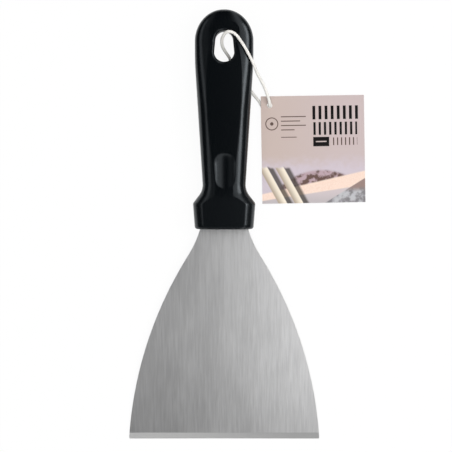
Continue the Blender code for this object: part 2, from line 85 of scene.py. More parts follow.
# %% Work on one piece
WELD = 0.001 * mm  # points nearer than this are one
FLAT = math.radians(0.2)  # faces that meet at less than this are one


def work_on(piece):
    """Makes a piece the only selected one, and the active one."""
    bpy.ops.object.select_all(action="DESELECT")
    piece.select_set(True)
    bpy.context.view_layer.objects.active = piece
    return piece


def fine_copy(node, name):
    """A copy of a piece of the construction with its own mesh, whose loose triangles are joined up."""
    piece = frame["nodes"][node].copy()
    piece.data = piece.data.copy()
    piece.name = piece.data.name = name
    piece.data.materials.clear()
    bpy.context.collection.objects.link(piece)
    piece.hide_viewport = piece.hide_render = False
    piece.hide_set(False)
    work_on(piece)
    bpy.ops.object.mode_set(mode="EDIT")
    bpy.ops.mesh.select_all(action="SELECT")
    bpy.ops.mesh.remove_doubles(threshold=WELD)
    bpy.ops.mesh.dissolve_limited(angle_limit=FLAT)
    bpy.ops.object.mode_set(mode="OBJECT")
    return piece


def apply_modifiers(piece):
    """Makes the result of all of a piece's modifiers its mesh, in their order."""
    work_on(piece)
    for step in list(piece.modifiers):
        bpy.ops.object.modifier_apply(modifier=step.name)


def triangles(piece):
    """How many triangles a piece's mesh has once its faces are split up."""
    return sum(len(face.vertices) - 2 for face in piece.data.polygons)


# %% [markdown]
# ## The string's way
# The tag hangs on one loop of limp cotton string. It comes out of the knot behind the handle, goes up through
# the eye, over its front rim and down to the card's hole, and returns underneath the card to the knot. Such a
# string could be simulated, but one that lies still is quicker to give as a list of points.

# %% Route of the string
STRING_ROUTE = [
    Vector(point) * mm
    for point in (
        (4.4, 84.5, 3.6), (2.6, 87.9, 6.8), (-0.4, 92.2, 11.0), (-1.2, 95.0, 14.6), (-0.4, 97.8, 18.0),
        (1.8, 99.6, 20.5), (4.8, 98.9, 21.3), (8.6, 94.7, 20.9), (12.4, 88.5, 20.1), (15.3, 83.0, 17.5),
        (17.1, 79.0, 14.2), (19.9, 74.2, 10.6), (21.9, 70.0, 7.7), (23.0, 67.0, 6.1), (23.6, 64.9, 4.9),
        (23.8, 63.6, 3.7), (23.8, 63.0, 2.4), (23.3, 62.2, 1.3), (22.2, 61.4, 0.85), (20.8, 61.6, 0.8),
        (19.7, 63.0, 0.8), (18.7, 65.0, 0.8), (17.2, 67.0, 0.8), (15.4, 69.1, 0.9),
    )
]
print("points on the string's way:", len(STRING_ROUTE))


# %% [markdown]
# ## How a twisted string is made
# Cotton string is three plies twisted together. It could be three thin tubes wound round each other, which
# costs three times the mesh. Here one tube does it: its cross section is a closed curve with three lobes,
# swept along the string's curve, and each point's tilt turns it a little further. The lobes then wind along
# the string as plies do.

# %% Twisted string
PLY_POINTS = 8  # round the cross section, for each ply
LOBE_SHARE = 0.13  # depth of the groove between two plies, as a share of the radius
LOBE_FULLNESS = 0.8  # under 1 the lobes are full and the grooves narrow


def ply_profile(name, plies, diameter):
    """A closed curve with one lobe for each ply, to sweep along a string."""
    count = plies * PLY_POINTS
    profile = bpy.data.curves.new(name, "CURVE")
    loop = profile.splines.new("POLY")
    loop.points.add(count - 1)
    loop.use_cyclic_u = True
    for i, point in enumerate(loop.points):
        turn = math.tau * i / count
        lobe = abs(math.cos(plies * turn / 2)) ** LOBE_FULLNESS
        radius = diameter / 2 * (1 - LOBE_SHARE + LOBE_SHARE * lobe)
        point.co = (radius * math.cos(turn), radius * math.sin(turn), 0, 1)
    shape = bpy.data.objects.new(name, profile)
    bpy.context.collection.objects.link(shape)
    shape.hide_render = True
    return shape


def twisted(name, route, pitch, profile, smooth_steps=14):
    """A curve through points, whose tilt grows with the way travelled so that the profile twists."""
    path = bpy.data.curves.new(name, "CURVE")
    path.dimensions = "3D"
    if profile:
        path.bevel_mode = "OBJECT"
        path.bevel_object = profile
        path.use_fill_caps = True
    path.resolution_u = smooth_steps
    path.twist_mode = "MINIMUM"
    spline = path.splines.new("BEZIER")
    spline.bezier_points.add(len(route) - 1)
    spline.tilt_interpolation = "LINEAR"
    travelled, before = 0.0, route[0]
    for knot, place in zip(spline.bezier_points, route):
        knot.co = place
        knot.handle_left_type = knot.handle_right_type = "AUTO"
        travelled += (place - before).length
        knot.tilt = math.tau * travelled / pitch
        before = place
    cord = bpy.data.objects.new(name, path)
    bpy.context.collection.objects.link(cord)
    return cord


def as_mesh(curve):
    """Turns a curve into a mesh."""
    work_on(curve)
    bpy.ops.object.convert(target="MESH")
    return bpy.context.object


# %% [markdown]
# ## The string
# Both ends of the loop lead straight into the knot. The points in the card's hole get a larger radius,
# because the string is bunched up there. The curve is turned into a mesh once without its cross section,
# which gives the centre line, and once with it, which gives the string. One short call says which body it
# rides with, and another hides the piece of the construction that it stands for.

# %% String
STRING_DIAMETER = 1.65 * mm
STRING_PITCH = 4.4 * mm  # length in which the plies go once round
PLIES = 3
STRING_SWELLING = {14: 1.08, 15: 1.25, 16: 1.35, 17: 1.2}  # by point of the route, in the card's hole
KNOT_AT = Vector((9.8, 76.8, 1.75)) * mm
KNOT_REACH = 4.6 * mm  # from the knot's middle to where its strands end
KNOT_GAP = 0.05 * mm  # between those strands and the loop
LEAD_LENGTH = 1.6 * mm  # from those strands to the loop's second point


def strand_way(target):
    """The level direction from the knot to a point of the string."""
    return Vector((target.x - KNOT_AT.x, target.y - KNOT_AT.y, 0)).normalized()


leads = [
    [KNOT_AT + strand_way(point) * (KNOT_REACH + run) for run in (KNOT_GAP, LEAD_LENGTH)]
    for point in (STRING_ROUTE[0], STRING_ROUTE[-1])
]
string_profile = ply_profile("string_profile", PLIES, STRING_DIAMETER)
route = [*leads[0], *STRING_ROUTE, *reversed(leads[1])]
centre_line = as_mesh(twisted("centre_line", route, STRING_PITCH, None))
path = [vertex.co.copy() for vertex in centre_line.data.vertices]
bpy.data.objects.remove(centre_line)
loop = twisted("string_loop", route, STRING_PITCH, string_profile)
for place, swelling in STRING_SWELLING.items():
    loop.data.splines[0].bezier_points[place + len(leads[0])].radius = swelling
string = as_mesh(loop)
bpy.ops.object.shade_smooth()
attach(string, "scraper")
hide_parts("string")
length = sum((b - a).length for a, b in zip(path, path[1:]))
print(f"string {length / mm:.1f} mm long, {triangles(string)} triangles")


# %% [markdown]
# ## The knot
# The two ends of the string are tied together where the handle hides them. A drawn up overhand knot is, as a
# line, a trefoil, and a trefoil has a simple formula: two turns round the middle while the line rises and
# dips three times. The loop's two strands and the two cut tails start in the middle of it. Its three curves
# are swept with the string's own cross section and then joined into one mesh.

# %% Knot
KNOT_TURN_RADIUS = 1.9 * mm  # of the ring that the knot's turns wind round
KNOT_WIND_RADIUS = 0.95 * mm
KNOT_POINTS = 40  # round the knot's turns
KNOT_TAIL = 3.2 * mm  # free end left past the turns
TAIL_GAP = 0.1 * mm  # between the tails' ends and the table
strand_ways = strand_way(STRING_ROUTE[0]), strand_way(STRING_ROUTE[-1])
first_turn = math.atan2(strand_ways[0].y, strand_ways[0].x)


def trefoil(t):
    """A point of the knot's turns, seen from the knot's middle."""
    out = KNOT_TURN_RADIUS + KNOT_WIND_RADIUS * math.cos(3 * t)
    turn = 2 * t + first_turn
    return Vector((out * math.cos(turn), out * math.sin(turn), KNOT_WIND_RADIUS * math.sin(3 * t)))


turns = [KNOT_AT + trefoil(math.tau * i / KNOT_POINTS) for i in range(KNOT_POINTS + 1)]
tail_way = (strand_ways[0] - strand_ways[1]).normalized().cross(Vector((0, 0, 1)))
tail_drop = STRING_DIAMETER / 2 + TAIL_GAP - KNOT_AT.z
tails = [
    KNOT_AT + tail_way * (KNOT_TURN_RADIUS + KNOT_TAIL) * share + Vector((0, 0, tail_drop * share**2))
    for share in (-1, -0.5, 0, 0.5, 1)
]
strand_ends = [KNOT_AT + way * KNOT_REACH for way in strand_ways]
strands = [strand_ends[0], KNOT_AT, strand_ends[1]]
knot_parts = [
    twisted("knot_turns", turns, STRING_PITCH, string_profile, smooth_steps=5),
    twisted("knot_tails", tails, STRING_PITCH, string_profile, smooth_steps=10),
    twisted("knot_strands", strands, STRING_PITCH, string_profile, smooth_steps=16),
]
bpy.ops.object.select_all(action="DESELECT")
for part in knot_parts:
    part.select_set(True)
bpy.context.view_layer.objects.active = knot_parts[0]
bpy.ops.object.convert(target="MESH")
bpy.ops.object.join()
knot = bpy.context.object
knot.name = knot.data.name = "string_knot"
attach(knot, "scraper")
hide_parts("knot")
print("knot triangles", triangles(knot))


# %% [markdown]
# ## The card
# A string bends on the real object but is stiff here. The knot and the card hang on it. The card is looked
# up here among the pieces of the construction, for its finish further on.

tag = frame["nodes"]["tag"]


# %% [markdown]
# ## The blade
# A flared plate of stainless steel, ground to a bevel along its edge. The construction already has its
# outline and its bevel, so nothing needs modelling again: a copy gets a bevel modifier, which rounds every
# edge a little as a polishing wheel does. Weighted normals then keep the flats flat, so that only the rounded
# edges catch a thin line of light.

# %% Blade
EDGE_ROUNDING = 0.14 * mm
ROUNDED_FROM = math.radians(13)  # edges that turn by more are rounded, the bevel's top among them
blade = fine_copy("blade", "scraper_blade")
rounding = blade.modifiers.new("edge rounding", "BEVEL")
rounding.width = EDGE_ROUNDING
rounding.segments = 3
rounding.limit_method = "ANGLE"
rounding.angle_limit = ROUNDED_FROM
rounding.harden_normals = True
work_on(blade)
bpy.ops.object.shade_smooth()
leveling = blade.modifiers.new("level the flats", "WEIGHTED_NORMAL")
leveling.keep_sharp = True
apply_modifiers(blade)
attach(blade, "scraper")
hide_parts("blade")
print("blade triangles", triangles(blade))


# %% [markdown]
# ## The handle
# One moulding in black plastic: a collar where the blade enters, a waist, a long grip and a round end with an
# eye. Its broad front and back are nearly flat and its sides are round. Subdivided boxes would soften the
# collar's crisp corners, so it is made as a boat builder would, as a skin over cross sections. First comes
# its place: the scraper rests on its edge and its collar, so it lies tipped by a few degrees, which the
# construction's own mounting faces tell.

# %% Place on the table
BLADE_LENGTH = 110.6 * mm
BLADE_THICKNESS = 1.2 * mm
EDGE_LAND = 0.3 * mm  # thickness left at the cutting edge
mounts = {mount["name"]: mount for mount in frame["record"]["mounts"]}
tilt = math.asin(-mounts["blade_front"]["axis"][1])
middle = (Vector(mounts["blade_front"]["pos_m"]) + Vector(mounts["blade_back"]["pos_m"])) / 2
mouth_y = (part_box("blade")[0].y + BLADE_LENGTH * math.cos(tilt)
           + (EDGE_LAND - BLADE_THICKNESS / 2) * math.sin(tilt))
mouth_z = middle.z + (mouth_y - middle.y) * math.tan(tilt)
lying = Matrix.Translation((0, mouth_y, mouth_z)) @ Matrix.Rotation(tilt, 4, "X")
print(f"the scraper lies {math.degrees(tilt):.2f} degrees tipped")
print(f"the mouth of its collar is at y {mouth_y / mm:.2f} mm")


# %% [markdown]
# ## Sizes of the handle
# Seen from the front the handle has an outline, and seen from the side it has two profiles: that of a round
# body, and that of the flats that cut it off. Places along it are counted from the mouth of the collar.

# %% Sizes of the handle
HANDLE_LENGTH = 113.5 * mm
END_WIDTH = 30.2 * mm  # widest part of the hanging end
END_ROUND_LENGTH = 16.3 * mm  # of the half ellipse that closes the hanging end
NECK_WIDTH = 21.9 * mm
COLLAR_WIDTH = 32.4 * mm
COLLAR_MOUTH_WIDTH = 30.4 * mm
COLLAR_LENGTH = 13.3 * mm  # from the mouth to the widest place
FLARE_LENGTH = 6.9 * mm  # from the collar's widest place to the neck
MOUTH_FILLET = 1.3 * mm
SHOULDER_FILLET = 2.0 * mm
NECK_FILLET = 9.0 * mm
GRIP_FILLET = 150.0 * mm  # turns the tapering grip parallel before the hanging end
GRIP_TURN_TO_ROUND = 11.0 * mm  # from the corner that it rounds to the half ellipse

COLLAR_THICKNESS = 15.0 * mm  # this and the next three lie between the flats of front and back
NECK_THICKNESS = 13.4 * mm
GRIP_THICKNESS = 14.8 * mm
END_THICKNESS = 11.6 * mm
ARCH_LENGTH = 17.2 * mm  # to the top of the arch that ends the collar's flat front
ARCH_FILLET = 2.0 * mm
NECK_TOP_FILLET = 12.0 * mm
GRIP_TOP_FILLET = 80.0 * mm  # over the thickest place of the grip
GRIP_CREST_SHARE = 0.45  # the thickest place of the grip, as a share of the way from neck to hanging end

COLLAR_CROWN = 1.15 * mm  # this and the next three: how far the body would stand out of each flat
NECK_CROWN = 0.1 * mm
GRIP_CROWN = 0.85 * mm
END_CROWN = 0.55 * mm
COLLAR_CROWN_FILLET = 3.0 * mm
NECK_CROWN_FILLET = 14.0 * mm
GRIP_CROWN_FILLET = 80.0 * mm

neck = COLLAR_LENGTH + FLARE_LENGTH
parallel = HANDLE_LENGTH - END_ROUND_LENGTH
crest = neck + (HANDLE_LENGTH - neck) * GRIP_CREST_SHARE
print(f"neck at {neck / mm:.1f} mm, thickest at {crest / mm:.1f} mm, round end from {parallel / mm:.1f} mm")


# %% [markdown]
# ## Arcs and fillets
# Outline and profiles are paths through a few corners. A fillet turns each corner into an arc, as a compass
# would on paper, and a squarer curve than a circle is an ellipse of a higher power.

# %% Arcs and fillets
ARC_STEP = math.radians(4)


def arc(centre, radius, start, end):
    """Points along an arc round a centre, from one angle to another."""
    steps = max(2, math.ceil(abs(end - start) / ARC_STEP))
    angles = [start + (end - start) * i / steps for i in range(steps + 1)]
    return [Vector((centre[0] + radius * math.cos(a), centre[1] + radius * math.sin(a))) for a in angles]


def quarter_curve(centre, wide, high, steps, power=2.0, start=0.0, end=math.pi / 2):
    """From the side of an ellipse, or of a squarer curve of a higher power, towards its top."""
    turns = [start + (end - start) * i / steps for i in range(steps + 1)]
    bend = 2 / power
    return [
        Vector((centre[0] + wide * max(0, math.cos(a)) ** bend, centre[1] + high * math.sin(a) ** bend))
        for a in turns
    ]


def filleted(corners):
    """A path through corners, each (point, radius), with every corner but the ends turned into an arc."""
    path = [Vector(corners[0][0])]
    for (before, _), (corner, radius), (after, _) in zip(corners, corners[1:], corners[2:]):
        corner = Vector(corner)
        back, on = (Vector(before) - corner).normalized(), (Vector(after) - corner).normalized()
        half = back.angle(on) / 2
        centre = corner + (back + on).normalized() * radius / math.sin(half)
        start = corner + back * radius / math.tan(half) - centre
        end = corner + on * radius / math.tan(half) - centre
        first = math.atan2(start.y, start.x)
        turn = (math.atan2(end.y, end.x) - first + math.pi) % math.tau - math.pi
        path += arc(centre, radius, first, first + turn)
    return path + [Vector(corners[-1][0])]


def read_along(path, places):
    """The path's x at each place along y."""
    return np.interp(places, [point.y for point in path], [point.x for point in path])


# %% [markdown]
# ## Outline and profiles
# Each path holds half a width or half a thickness, and the place along the handle. The first point, in the
# middle of the mouth, only gives the first fillet its direction and is left off again.

# %% Outline and profiles
END_STEPS = 60  # round a quarter of the ellipse that closes the hanging end
outline = filleted([
    ((0, 0), 0),
    ((COLLAR_MOUTH_WIDTH / 2, 0), MOUTH_FILLET),
    ((COLLAR_WIDTH / 2, COLLAR_LENGTH), SHOULDER_FILLET),
    ((NECK_WIDTH / 2, neck), NECK_FILLET),
    ((END_WIDTH / 2, parallel - GRIP_TURN_TO_ROUND), GRIP_FILLET),
    ((END_WIDTH / 2, parallel), 0),
])[1:]
outline += quarter_curve((0, parallel), END_WIDTH / 2, END_ROUND_LENGTH, END_STEPS)[1:]
flats = filleted([
    ((0, 0), 0),
    ((COLLAR_THICKNESS / 2, 0), MOUTH_FILLET),
    ((COLLAR_THICKNESS / 2, ARCH_LENGTH), ARCH_FILLET),
    ((NECK_THICKNESS / 2, neck), NECK_TOP_FILLET),
    ((GRIP_THICKNESS / 2, crest), GRIP_TOP_FILLET),
    ((END_THICKNESS / 2, HANDLE_LENGTH), 0),
])[1:]
body = filleted([
    ((0, 0), 0),
    ((COLLAR_THICKNESS / 2 + COLLAR_CROWN, 0), MOUTH_FILLET + COLLAR_CROWN),
    ((COLLAR_THICKNESS / 2 + COLLAR_CROWN, COLLAR_LENGTH), COLLAR_CROWN_FILLET),
    ((NECK_THICKNESS / 2 + NECK_CROWN, neck), NECK_CROWN_FILLET),
    ((GRIP_THICKNESS / 2 + GRIP_CROWN, crest), GRIP_CROWN_FILLET),
    ((END_THICKNESS / 2 + END_CROWN, parallel), 0),
])[1:]
print("points: outline", len(outline), "flats", len(flats), "body", len(body))


# %% [markdown]
# ## A skin over rings
# A flat grid has rows and columns of faces, as a tube has once it is slit open. So a grid with a row for each
# cross section is added, its points are set to the sections, and the two sides of the slit are merged. The
# two open ends are filled, and the normals made to point outwards.

# %% Skin
def skin(name, rings):
    """A closed skin over rings of points, wrapped from a flat grid, with a flat face at each end."""
    rings = np.array(rings)
    count, around = rings.shape[:2]
    bpy.ops.object.select_all(action="DESELECT")
    bpy.ops.mesh.primitive_grid_add(x_subdivisions=around, y_subdivisions=count - 1, size=1)
    piece = bpy.context.object
    piece.name = piece.data.name = name
    wrapped = np.concatenate([rings, rings[:, :1]], axis=1)
    piece.data.vertices.foreach_set("co", wrapped.reshape(-1))
    bpy.ops.object.mode_set(mode="EDIT")
    bpy.ops.mesh.select_all(action="SELECT")
    bpy.ops.mesh.remove_doubles(threshold=WELD / 2)
    bpy.ops.mesh.select_all(action="DESELECT")
    bpy.ops.mesh.select_non_manifold()
    bpy.ops.mesh.edge_face_add()
    bpy.ops.mesh.select_all(action="SELECT")
    bpy.ops.mesh.normals_make_consistent(inside=False)
    bpy.ops.object.mode_set(mode="OBJECT")
    return piece


# %% [markdown]
# ## The side of a cross section
# Every section has as many points as the next, so that the skin's rows match. Down its rounded side they are
# spread along the true curve, closest together near the flat, and the first one is where the rounded crease
# ends.

# %% Side of a section
SIDE_STEPS = 22
SIDE_CROWDING = 1.2  # over 1, points are closer together near the flat
CREASE_CLEARANCE = 1.5  # points nearer to the flat than this many creases are left out


def side_points(curve, crease):
    """Points spread along a curve, the first one a crease's width from its start."""
    curve = np.array(curve)
    way = np.concatenate([[0], np.cumsum(np.linalg.norm(np.diff(curve, axis=0), axis=1))])
    even = np.linspace(0, 1, SIDE_STEPS + 1)
    down = way[-1] * even**SIDE_CROWDING
    down = np.concatenate([[crease], down[down > crease * CREASE_CLEARANCE]])
    down = np.interp(even, np.linspace(0, 1, len(down)), down)
    return np.column_stack([np.interp(down, way, curve[:, 0]), np.interp(down, way, curve[:, 1])])


# %% [markdown]
# ## One cross section
# From the middle of the front outwards a section has a flat that is crowned by a hair, a crease rounded by a
# third of a millimetre, and a side whose curve is squarer than an ellipse. At half height the two halves of
# the mould met, and left a thin raised seam. The back mirrors the front.

# %% One section
FLAT_POINTS = 12  # across half of the flat front
FLAT_CROWN = 0.10 * mm  # the flat front's middle stands this much over its edges
LEAST_FLAT_SHARE = 1 / 40  # of the width, where the body hardly reaches out of the flats
CREASE = 0.35 * mm  # rounding between the flat and the side
CREASE_STEPS = 4
CURVE_STEPS = 60  # of the true curve of a side
BAND_HEIGHT = 1.6 * mm  # flat band along the side, where the mould parts
SEAM_WIDTH = 0.2 * mm
SEAM_HEIGHT = 0.06 * mm


def section(half_width, half_body, half_flats, power, place):
    """The right half of one cross section, from the middle of the front to the middle of the back."""
    band = min(BAND_HEIGHT / 2, half_body / 2)
    bulge = half_body - band
    share = min(1.0, (half_flats - band) / bulge)
    cosine = max((1 - share**power) ** 0.5, LEAST_FLAT_SHARE)
    flat_width = half_width * cosine ** (2 / power)
    crease = min(CREASE, flat_width / 2)
    top = band + bulge * (1 - cosine**2) ** (1 / power)
    drop = FLAT_CROWN * flat_width / (END_WIDTH / 2)
    flat = [
        (x, top - drop * (x / flat_width) ** 2)
        for x in np.linspace(0, flat_width - crease, FLAT_POINTS)
    ]
    curve = quarter_curve((0, band), half_width, bulge, CURVE_STEPS, power, 0, math.acos(cosine))[::-1]
    side = side_points([(p.x, p.y) for p in curve], crease)
    corner, before, after = np.array(curve[0]) - (0, drop), np.array(flat[-1]), side[0]
    rounding = [
        before * (1 - t) ** 2 + corner * 2 * t * (1 - t) + after * t**2
        for t in np.linspace(0, 1, CREASE_STEPS + 1)[1:-1]
    ]
    front = [tuple(point) for point in (*flat, *rounding, *side)]
    seam = min(SEAM_WIDTH / 2, band / 3)
    back = [(x, -z) for x, z in reversed(front)]
    points = [*front, (half_width, seam), (half_width + SEAM_HEIGHT, 0), (half_width, -seam), *back]
    return np.array([(x, place, z) for x, z in points])


# %% [markdown]
# ## The thumb dimples
# Front and back have a shallow oval hollow for the thumb, a ball drawn out along the handle. A boolean cut
# would leave long thin faces beside it that shade badly. Because the sections are close together, their
# points are simply lowered to the ball where it reaches below the flat, with a slightly soft edge.

# %% Thumb dimples
DIMPLE_LENGTH = 18.6 * mm
DIMPLE_WIDTH = 11.0 * mm
DIMPLE_DEPTH = 0.9 * mm
DIMPLE_BALL = 12.0 * mm  # height of the ball that scoops it
DIMPLE_TO_MOUTH = 30.0 * mm  # from the mouth of the collar to the dimple's middle
DIMPLE_ASIDE = 0.6 * mm  # to the right of the handle's middle
DIMPLE_EDGE = 0.03 * mm  # softness of the dimple's edge


def dimpled(points):
    """Sinks the points of the flats that lie over a thumb dimple, on the front and on the back."""
    half = DIMPLE_BALL / 2
    sink = half - DIMPLE_DEPTH
    spread = math.sqrt(1 - (sink / half) ** 2)
    x, y, z = points.T
    past = np.maximum(0, np.abs(y - DIMPLE_TO_MOUTH) - (DIMPLE_LENGTH - DIMPLE_WIDTH) / 2)
    far = ((x - DIMPLE_ASIDE) ** 2 + past**2) * (spread * 2 / DIMPLE_WIDTH) ** 2
    flat = float(read_along(flats, [DIMPLE_TO_MOUTH])[0])
    floor_height = flat + sink - half * np.sqrt(np.clip(1 - far, 0, 1))
    over = np.abs(z) - floor_height
    smooth_over = (over + np.sqrt(over**2 + DIMPLE_EDGE**2)) / 2
    sunk = np.abs(z) - np.where(far < 1, smooth_over, 0) * (np.abs(z) > flat - DIMPLE_DEPTH)
    return np.column_stack([x, y, np.sign(z) * sunk])


# %% [markdown]
# ## All sections
# A section goes wherever the outline or a profile bends, and between those at even steps. Past the start of
# the round end the sections also get lower, so that the end is round from the side too. The collar's sides
# are nearly elliptic, the grip's are squarer, and those of the hanging end are the squarest.

# %% All sections
SECTION_STEP = 0.6 * mm
LEAST_STEP = 0.02 * mm  # sections closer than this are left out
TIP_GAP = 0.004 * mm  # between the last section and the very end
COLLAR_ROUNDNESS = 2.7  # power of the curve of a section: 2 is an ellipse, more is squarer
GRIP_ROUNDNESS = 2.8
END_ROUNDNESS = 3.5
bends = sorted({round(point.y, 6) for point in outline + flats + body})
places = [bends[0]]
for bend in bends[1:]:
    steps = max(1, math.ceil((bend - places[-1]) / SECTION_STEP))
    places += [places[-1] + (bend - places[-1]) / steps * (i + 1) for i in range(steps)]
places = [place for i, place in enumerate(places) if i == 0 or place - places[i - 1] > LEAST_STEP]
places = [place for place in places if place < HANDLE_LENGTH - TIP_GAP]
powers = np.interp(
    places, [COLLAR_LENGTH, neck, crest, parallel],
    [COLLAR_ROUNDNESS, GRIP_ROUNDNESS, GRIP_ROUNDNESS, END_ROUNDNESS])
rings = []
for place, width, height, flat, power in zip(
        places, read_along(outline, places), read_along(body, places), read_along(flats, places), powers):
    past = max(0, (place - parallel) / END_ROUND_LENGTH)
    height *= (1 - past**END_ROUNDNESS) ** (1 / END_ROUNDNESS)
    right = section(width, height, min(flat, height), power, place)
    left = right[-2:0:-1] * (-1, 1, 1)
    rings.append(dimpled(np.concatenate([right, left])))
handle = skin("scraper_handle", rings)
print("sections", len(rings), "points in each", len(rings[0]))


# %% [markdown]
# ## Cutters for the eye and for the slot
# The eye is cut with a boolean, because it goes right through all the sections. Its cutter is a skin too, in
# the shape of a spool: it widens towards both faces, which leaves a rounded rim where the string runs over.
# The slot that holds the blade's tang is cut with a slightly grown copy of the blade, and that also leaves
# the pegs of plastic that go through the tang's holes.

# %% Cutters
EYE_LENGTH = 15.9 * mm
EYE_WIDTH = 10.4 * mm
EYE_TOP_WIDTH = 9.2 * mm  # it narrows towards the hanging end
EYE_TO_END = 11.2 * mm  # plastic between the eye and the end of the handle
EYE_RIM = 1.2 * mm  # rounding of the eye's edges
RIM_STEPS = 10
OVERRUN = 2.0 * mm  # how far the cutter runs past each face
CLEARANCE = 0.3 * mm  # between the tang and its slot
eye_bottom = HANDLE_LENGTH - EYE_TO_END - EYE_LENGTH


def eye_outline(grow):
    """The eye's egg shape, grown all round: two circles and the straight flanks that touch both."""
    wide, narrow = EYE_WIDTH / 2 + grow, EYE_TOP_WIDTH / 2 + grow
    low, high = eye_bottom + EYE_WIDTH / 2, eye_bottom + EYE_LENGTH - EYE_TOP_WIDTH / 2
    lean = math.asin((wide - narrow) / (high - low))
    right = arc((0, low), wide, -math.pi / 2, lean) + arc((0, high), narrow, lean, math.pi / 2)
    return right[:-1] + [Vector((-p.x, p.y)) for p in reversed(right[1:])]


rim_turns = [math.pi / 2 * i / RIM_STEPS for i in range(RIM_STEPS + 1)]
flare = [(EYE_RIM * (1 - math.cos(a)), EYE_RIM * (math.sin(a) - 1)) for a in rim_turns]
flare[-1] = (EYE_RIM, OVERRUN)
spool = [(-1, *step) for step in reversed(flare)] + [(1, *step) for step in flare]
eye_cutter = skin("eye_cutter", [
    [(p.x, p.y, side * (float(read_along(flats, [p.y])[0]) + rise)) for p in eye_outline(grow)]
    for side, grow, rise in spool
])
slot_cutter = fine_copy("blade", "slot_cutter")
work_on(slot_cutter)
slot_cutter.data.transform(lying.inverted())
bpy.ops.object.mode_set(mode="EDIT")
bpy.ops.mesh.select_all(action="SELECT")
bpy.ops.transform.shrink_fatten(value=CLEARANCE, use_even_offset=True)
bpy.ops.object.mode_set(mode="OBJECT")
print("cutter triangles: eye", triangles(eye_cutter), "slot", triangles(slot_cutter))


# %% [markdown]
# ## Cutting the handle and laying it down
# Both cuts are made while the handle is still level, because its sizes are counted along its own length. Then
# its mesh is tipped onto the table while its object stays at the origin, and it is shaded smooth but for real
# corners.

# %% Cut and lay down
SHARP_FROM = math.radians(40)
for cutter in (eye_cutter, slot_cutter):
    cut = handle.modifiers.new(cutter.name, "BOOLEAN")
    cut.operation = "DIFFERENCE"
    cut.object = cutter
apply_modifiers(handle)
for cutter in (eye_cutter, slot_cutter):
    bpy.data.objects.remove(cutter)
handle.data.transform(lying)
work_on(handle)
bpy.ops.object.shade_smooth_by_angle(angle=SHARP_FROM)
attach(handle, "scraper")
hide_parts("handle")
print("handle triangles", triangles(handle))


# %% [markdown]
# ## Sums of sockets
# A finish is a network of nodes, and most of it is arithmetic: where on the piece, how far from a line, which
# share of which colour. Wired by hand that takes dozens of nodes that nobody can read. Here a small class
# stands for a socket, and adding or multiplying two of them adds the node that does it. Where a plain number
# comes first, as in 1 - mask, Python asks for the reflected form of the sum, so those are given too.

# %% Sums of sockets
class Value:
    """A socket of a network. Sums with it add the nodes that work them out."""

    def __init__(self, network, socket):
        self.network, self.socket = network, socket

    def sum(self, operation, first, second=0.0):
        """The Math node of an operation on two numbers or values."""
        return self.network.node("ShaderNodeMath", {"operation": operation}, {0: first, 1: second})

    def __add__(self, other):
        return self.sum("ADD", self, other)

    __radd__ = __add__

    def __sub__(self, other):
        return self.sum("SUBTRACT", self, other)

    def __rsub__(self, other):
        return self.sum("SUBTRACT", other, self)

    def __mul__(self, other):
        return self.sum("MULTIPLY", self, other)

    __rmul__ = __mul__

    def __truediv__(self, other):
        return self.sum("DIVIDE", self, other)

    def __rtruediv__(self, other):
        return self.sum("DIVIDE", other, self)

    def __lt__(self, other):
        return self.sum("LESS_THAN", self, other)

    def __gt__(self, other):
        return self.sum("GREATER_THAN", self, other)

    def fraction(self):
        """What it is over the whole number below it."""
        return self.sum("FRACT", self)

    def root(self):
        return self.sum("SQRT", self)


# %% [markdown]
# ## Networks of nodes
# Materials and the world's light are both networks. One method adds any kind of node: its settings come
# first, because they can change which sockets it has, and then each socket gets a number, a colour or
# another socket's value. The few nodes that are needed all the time have a short method of their own.

# %% Networks of nodes
class Network:
    """A network of nodes, to which nodes are added one at a time."""

    def __init__(self, tree):
        self.tree = tree

    def put(self, socket, value):
        """Gives a socket a number, a colour or a link."""
        if isinstance(value, Value):
            self.tree.links.new(value.socket, socket)
        elif isinstance(value, tuple) and socket.type == "RGBA":
            socket.default_value = (*value, 1)
        else:
            socket.default_value = value

    def node(self, kind, settings=None, sockets=None, out=0):
        """A node of a kind, its settings made first, then its sockets given numbers or other values."""
        node = self.tree.nodes.new(kind)
        for name, setting in (settings or {}).items():
            if name == "stops":
                self.set_stops(node.color_ramp, setting)
            else:
                setattr(node, name, setting)
        for name, value in (sockets or {}).items():
            self.put(node.inputs[name], value)
        return Value(self, node.outputs[out])

    def set_stops(self, ramp, stops):
        """Gives a ramp its stops, each (position, grey)."""
        while len(ramp.elements) < len(stops):
            ramp.elements.new(1)
        for stop, (position, grey) in zip(ramp.elements, stops):
            stop.position = position
            stop.color = (grey, grey, grey, 1)

    def axes(self, place):
        """The three coordinates of a place."""
        split = self.node("ShaderNodeSeparateXYZ", sockets={"Vector": place}).socket.node
        return [Value(self, output) for output in split.outputs]

    def between(self, share, low, high):
        """A number, or a colour, that runs from low to high with the share."""
        if isinstance(low, tuple) or (isinstance(low, Value) and low.socket.type == "RGBA"):
            return self.node("ShaderNodeMix", {"data_type": "RGBA"}, {0: share, 6: low, 7: high}, out=2)
        return self.node("ShaderNodeMapRange", sockets={"Value": share, "To Min": low, "To Max": high})

    def step(self, value, start, end):
        """0 before the start and 1 past the end, with a smooth way up between them."""
        return self.node("ShaderNodeMapRange", {"interpolation_type": "SMOOTHSTEP"}, {
            "Value": value, "From Min": start, "From Max": end})


# %% [markdown]
# ## A finish
# A finish is a material with its main shader. Its patterns read the place on the piece in the piece's own
# coordinates, so that they stay where they are on it when it moves.

